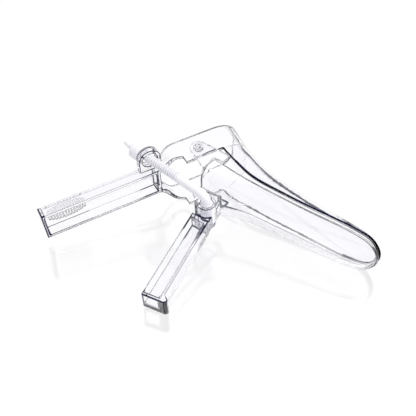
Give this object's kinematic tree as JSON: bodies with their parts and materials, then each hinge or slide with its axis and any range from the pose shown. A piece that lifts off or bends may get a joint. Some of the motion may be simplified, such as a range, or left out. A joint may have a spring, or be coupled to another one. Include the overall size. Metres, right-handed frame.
{
  "type": "bivalve speculum",
  "caption": "Two clear valves hinged at a collar, each a blade with a channel handle; a white side screw and nut hold the blades open.",
  "frame": {"origin": "centre of the hinge, on the mid-plane between the two ears", "axes": "+X along the closed blades to their tips, +Y to the upper valve's back, +Z along the hinge towards the screw's side"},
  "size_m": [0.1574, 0.1151, 0.0412],
  "materials": {
    "clear_plastic_upper": "clear, polished",
    "clear_plastic_lower": "clear, polished",
    "white_plastic_screw": "moulded white",
    "white_plastic_nut": "moulded white"
  },
  "bodies": {
    "lower_body": {"lower_valve": "clear_plastic_lower"},
    "upper_body": {"upper_valve": "clear_plastic_upper"},
    "screw_body": {"adjusting_screw": "white_plastic_screw"},
    "nut_body": {"lock_nut": "white_plastic_nut"}
  },
  "joints": [
    {"name": "blade_hinge", "type": "hinge", "parent": "lower_body", "child": "upper_body", "pos_m": [0, 0, 0], "axis": [0, 0, 1], "range_deg": [0, 32]},
    {"name": "screw_swivel", "type": "hinge", "parent": "lower_body", "child": "screw_body", "pos_m": [0.02149, -0.02391, 0], "axis": [0, 0, 1], "range_deg": [0, 12.4]},
    {"name": "nut_travel", "type": "slide", "parent": "screw_body", "child": "nut_body", "axis": [0.9904, -0.138, 0], "range_m": [0, 0.0128]}
  ],
  "couplings": [
    {"joint": "screw_swivel", "follows": "blade_hinge", "ratio": 0.3847},
    {"joint": "nut_travel", "follows": "blade_hinge", "m_per_rad": 0.022696}
  ]
}
